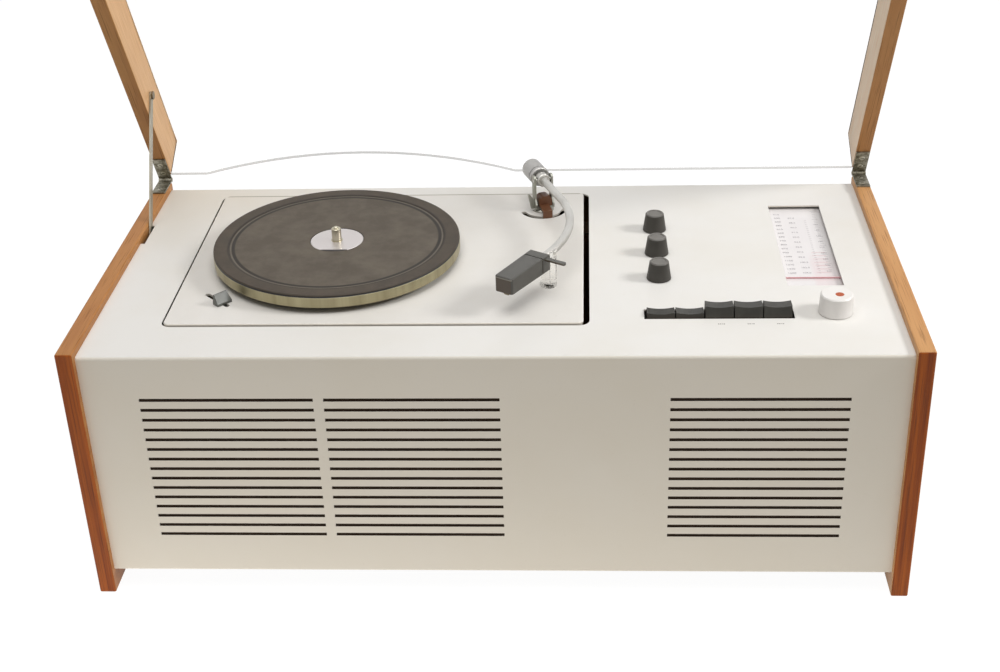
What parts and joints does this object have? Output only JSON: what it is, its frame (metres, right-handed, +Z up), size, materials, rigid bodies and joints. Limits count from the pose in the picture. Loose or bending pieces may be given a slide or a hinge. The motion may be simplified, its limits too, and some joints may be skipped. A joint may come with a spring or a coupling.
{
  "type": "stereo music centre",
  "caption": "Table-top record player and radio: folded steel body between wooden sides, deck, arm, push keys, knobs, dial and a hinged clear lid.",
  "frame": {"origin": "on the floor, under the middle of the outer box of the set standing with its lid open", "axes": "+Z up, +X to the right as seen from the front, -Y towards the front grille"},
  "size_m": [0.584, 0.3232, 0.4749],
  "materials": {
    "wood": "oiled, satin",
    "shell_lacquer": "matt lacquer, warm off-white",
    "deck_lacquer": "matt lacquer, warm off-white",
    "hardboard": "plain hardboard",
    "socket_plastic": "black moulding",
    "zinc": "zinc plated",
    "cloth": "woven, dark",
    "basket": "grey enamel",
    "cone_paper": "pressed pulp",
    "core": "varnished laminations",
    "valve_glass": "clear glass",
    "vane": "plain",
    "pot_can": "plain",
    "drum_plastic": "moulded",
    "scale": "white with grey print",
    "pointer_red": "red",
    "hinge_steel": "dull steel",
    "pin_steel": "bright steel",
    "buffer_rubber": "soft rubber",
    "acrylic": "clear acrylic",
    "rest_clear": "clear moulding",
    "platter_metal": "champagne, turned",
    "mat_rubber": "dark grey rubber",
    "disc_metal": "bright satin",
    "pulley_brass": "turned",
    "tyre_rubber": "ground rubber tyre",
    "lever_grey": "grey moulding",
    "arm_metal": "satin, light grey",
    "block_brown": "brown phenolic moulding",
    "head_grey": "dark grey moulding",
    "knob_grey": "dark grey moulding",
    "knob_white": "white moulding"
  },
  "bodies": {
    "case": {"side_panel_left": "wood", "side_panel_right": "wood", "body_shell": "shell_lacquer", "base_plate": "hardboard", "rear_cover": "hardboard", "rear_sockets": "socket_plastic", "case_screws": "zinc", "grille_cloth": "cloth", "baffle_board": "hardboard", "speaker_frames": "basket", "speaker_cones": "cone_paper", "radio_chassis": "zinc", "mains_transformer": "core", "output_transformers": "core", "radio_valves": "valve_glass", "tuning_capacitor": "vane", "dial_frame": "zinc", "dial_scale": "scale", "control_pots": "pot_can", "key_frame": "zinc", "hinge_leaves_body": "hinge_steel", "deck_buffers": "buffer_rubber"},
    "lid": {"lid_cheek_left": "wood", "lid_cheek_right": "wood", "lid_window": "acrylic", "hinge_leaves_lid": "hinge_steel", "lid_pins": "pin_steel"},
    "stay": {"lid_stay": "pin_steel"},
    "deck": {"deck_plate": "deck_lacquer", "platter_bearing": "pin_steel", "motor": "core", "idler_bracket": "zinc", "arm_bearing": "pin_steel", "arm_rest": "rest_clear"},
    "platter": {"platter": "platter_metal", "platter_mat": "mat_rubber", "centre_disc": "disc_metal", "spindle": "pin_steel"},
    "idler": {"idler_wheel": "tyre_rubber"},
    "pulley": {"motor_pulley": "pulley_brass"},
    "speed": {"speed_lever": "lever_grey"},
    "arm_swing": {"arm_fork": "pin_steel", "arm_block": "block_brown"},
    "arm": {"arm_tube": "arm_metal", "counterweight": "arm_metal", "head_shell": "head_grey", "cartridge": "block_brown"},
    "volume": {"volume_knob": "knob_grey"},
    "bass": {"bass_knob": "knob_grey"},
    "treble": {"treble_knob": "knob_grey"},
    "tuning": {"tuning_knob": "knob_white", "tuning_shaft": "pin_steel"},
    "pointer": {"dial_pointer": "pointer_red"},
    "rotor": {"tuning_rotor": "vane", "cord_drum": "drum_plastic"},
    "key1": {"key_1": "knob_grey"},
    "key2": {"key_2": "knob_grey"},
    "key3": {"key_3": "knob_grey"},
    "key4": {"key_4": "knob_grey"},
    "key5": {"key_5": "knob_grey"}
  },
  "joints": [
    {"name": "lid_hinge", "type": "hinge", "parent": "case", "child": "lid", "pos_m": [0, 0.13089, 0.2014], "axis": [1, 0, 0], "range_deg": [0, 60.8]},
    {"name": "stay_swing", "type": "hinge", "parent": "lid", "child": "stay", "pos_m": [-0.279, 0.10228, 0.28611], "axis": [1, 0, 0], "range_deg": [-30.4, 0]},
    {"name": "deck_float", "type": "slide", "parent": "case", "child": "deck", "axis": [0, 0, 1], "range_m": [-0.003, 0.001], "stiffness_N_per_m": 9000, "springref_m": 0.0034, "deforming": ["deck_buffers"]},
    {"name": "platter_spin", "type": "hinge", "parent": "deck", "child": "platter", "pos_m": [-0.1216, -0.00641, 0.2094], "axis": [0, 0, 1], "continuous": true},
    {"name": "idler_spin", "type": "hinge", "parent": "deck", "child": "idler", "pos_m": [-0.05627, 0.01901, 0.2002], "axis": [0, 0, 1], "continuous": true},
    {"name": "motor_spin", "type": "hinge", "parent": "deck", "child": "pulley", "pos_m": [-0.06744, 0.00314, 0.2002], "axis": [0, 0, 1], "continuous": true},
    {"name": "speed_lever_slide", "type": "slide", "parent": "deck", "child": "speed", "axis": [0.7193, -0.6947, 0], "range_m": [-0.0168, 0.0037]},
    {"name": "arm_swivel", "type": "hinge", "parent": "deck", "child": "arm_swing", "pos_m": [0.0305, 0.07669, 0.2], "axis": [0, 0, 1], "range_deg": [-36, 0]},
    {"name": "arm_lift", "type": "hinge", "parent": "arm_swing", "child": "arm", "pos_m": [0.0305, 0.07669, 0.2217], "axis": [0.9285, 0.3714, 0], "range_deg": [-14, 0]},
    {"name": "volume_turn", "type": "hinge", "parent": "case", "child": "volume", "pos_m": [0.117, 0.03939, 0.2], "axis": [0, 0, 1], "range_deg": [-150, 150]},
    {"name": "bass_turn", "type": "hinge", "parent": "case", "child": "bass", "pos_m": [0.117, -0.00211, 0.2], "axis": [0, 0, 1], "range_deg": [-150, 150]},
    {"name": "treble_turn", "type": "hinge", "parent": "case", "child": "treble", "pos_m": [0.117, -0.04311, 0.2], "axis": [0, 0, 1], "range_deg": [-150, 150]},
    {"name": "tuning_turn", "type": "hinge", "parent": "case", "child": "tuning", "pos_m": [0.236, -0.09631, 0.2], "axis": [0, 0, 1], "range_deg": [-71, 1641]},
    {"name": "pointer_slide", "type": "slide", "parent": "case", "child": "pointer", "axis": [0, 1, 0], "range_m": [-0.005, 0.1146]},
    {"name": "capacitor_turn", "type": "hinge", "parent": "case", "child": "rotor", "pos_m": [0.256, 0.00839, 0.135], "axis": [1, 0, 0], "range_deg": [-8, 164]},
    {"name": "key_1_press", "type": "slide", "parent": "case", "child": "key1", "axis": [0, 0, 1], "range_m": [0, 0.005]},
    {"name": "key_2_press", "type": "slide", "parent": "case", "child": "key2", "axis": [0, 0, 1], "range_m": [0, 0.005]},
    {"name": "key_3_press", "type": "slide", "parent": "case", "child": "key3", "axis": [0, 0, 1], "range_m": [-0.005, 0], "stiffness_N_per_m": 300, "springref_m": 0.004},
    {"name": "key_4_press", "type": "slide", "parent": "case", "child": "key4", "axis": [0, 0, 1], "range_m": [-0.005, 0], "stiffness_N_per_m": 300, "springref_m": 0.004},
    {"name": "key_5_press", "type": "slide", "parent": "case", "child": "key5", "axis": [0, 0, 1], "range_m": [-0.005, 0], "stiffness_N_per_m": 300, "springref_m": 0.004}
  ],
  "couplings": [
    {"joint": "stay_swing", "follows": "lid_hinge", "ratio": -0.5},
    {"joint": "idler_spin", "follows": "platter_spin", "ratio": 5.1412},
    {"joint": "motor_spin", "follows": "platter_spin", "ratio": -41.619},
    {"joint": "pointer_slide", "follows": "tuning_turn", "m_per_rad": 0.004},
    {"joint": "capacitor_turn", "follows": "tuning_turn", "ratio": 0.1}
  ]
}
